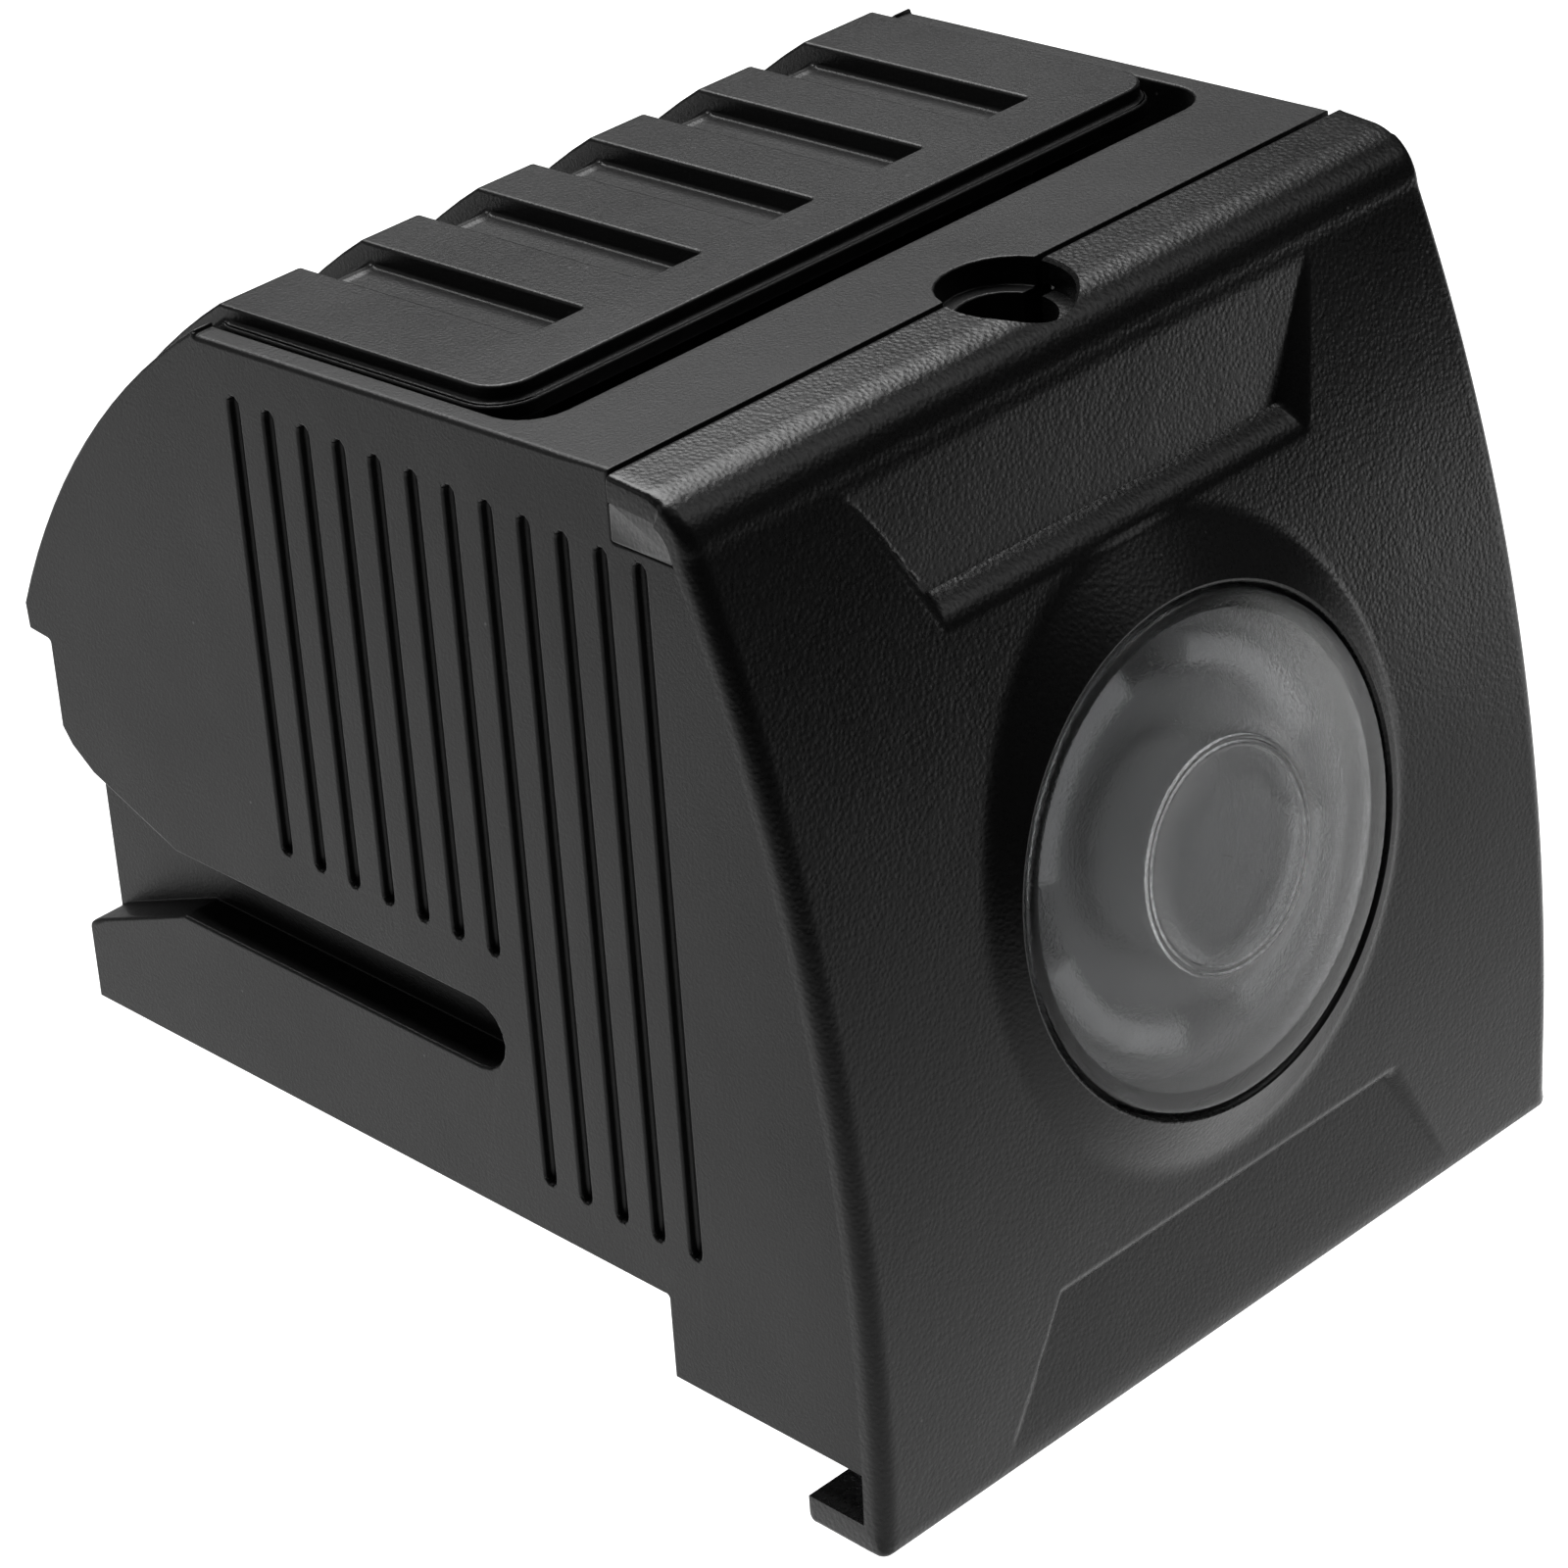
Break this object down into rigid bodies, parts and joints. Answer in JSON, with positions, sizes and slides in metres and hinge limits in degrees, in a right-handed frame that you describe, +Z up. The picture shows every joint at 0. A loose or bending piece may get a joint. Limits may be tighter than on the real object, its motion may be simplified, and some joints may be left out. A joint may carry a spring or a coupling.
{
  "type": "slide-on light module",
  "caption": "Compact black light module with a round lens in a curved front cover, side guide slots, a hook lip and a sprung release slider.",
  "frame": {"origin": "centre of the seat face, the flat underside between the two side rails", "axes": "+Z up out of the top, -Y forwards out of the lens, +X across to the module's left as seen from the front"},
  "size_m": [0.0694, 0.0842, 0.0729],
  "materials": {
    "housing_plastic": "fine spark-eroded texture, satin black",
    "cover_plastic": "coarser leather-like moulded grain, satin black",
    "plain_plastic": "fine matte black",
    "slider_plastic": "fine matte black",
    "tray_plastic": "plain matte black",
    "lens_plastic": "clear, finely frosted inside",
    "gasket_rubber": "soft black",
    "guide_plastic": "pale translucent",
    "reflector_plastic": "satin grey",
    "board_laminate": "green solder mask",
    "led_package": "pale yellow",
    "sink_aluminium": "extruded",
    "steel": "zinc plated",
    "component_black": "moulded",
    "connector_plastic": "natural nylon",
    "contact_brass": "plain",
    "lead_red": "insulation",
    "lead_black": "insulation"
  },
  "bodies": {
    "module": {"main_housing": "housing_plastic", "front_cover": "cover_plastic", "bottom_plate": "plain_plastic", "contact_block": "plain_plastic", "guide_tray": "tray_plastic", "lens": "lens_plastic", "lens_gasket": "gasket_rubber", "light_guide_1": "guide_plastic", "light_guide_2": "guide_plastic", "light_guide_3": "guide_plastic", "light_guide_4": "guide_plastic", "reflector": "reflector_plastic", "centre_diffuser": "reflector_plastic", "led_board": "board_laminate", "driver_board": "board_laminate", "main_led": "led_package", "ring_led_1": "led_package", "ring_led_2": "led_package", "ring_led_3": "led_package", "ring_led_4": "led_package", "heat_sink": "sink_aluminium", "slider_spring_left": "steel", "slider_spring_right": "steel", "bolt_spring": "steel", "optic_screw_1": "steel", "optic_screw_2": "steel", "optic_screw_3": "steel", "optic_screw_4": "steel", "led_board_screw_1": "steel", "led_board_screw_2": "steel", "cover_screw_1": "steel", "cover_screw_2": "steel", "bottom_screw_1": "steel", "bottom_screw_2": "steel", "bottom_screw_3": "steel", "bottom_screw_4": "steel", "board_screw_1": "steel", "board_screw_2": "steel", "tray_screw_1": "steel", "tray_screw_2": "steel", "inductor": "component_black", "controller_chip": "component_black", "capacitor_1": "component_black", "capacitor_2": "component_black", "board_connector": "connector_plastic", "contact_blade_positive": "contact_brass", "contact_blade_negative": "contact_brass", "led_lead_positive": "lead_red", "contact_lead_positive": "lead_red", "led_lead_negative": "lead_black", "contact_lead_negative": "lead_black"},
    "slider": {"release_slider": "slider_plastic"},
    "bolt": {"latch_bolt": "steel"}
  },
  "joints": [
    {"name": "slider_press", "type": "slide", "parent": "module", "child": "slider", "axis": [0, -1, 0], "range_m": [0, 0.003], "stiffness_N_per_m": 900, "springref_m": -0.002, "deforming": ["slider_spring_left", "slider_spring_right"]},
    {"name": "latch_lift", "type": "slide", "parent": "module", "child": "bolt", "axis": [0, 0, 1], "range_m": [0, 0.003], "deforming": ["bolt_spring"]}
  ],
  "couplings": [
    {"joint": "latch_lift", "follows": "slider_press", "ratio": 1}
  ]
}
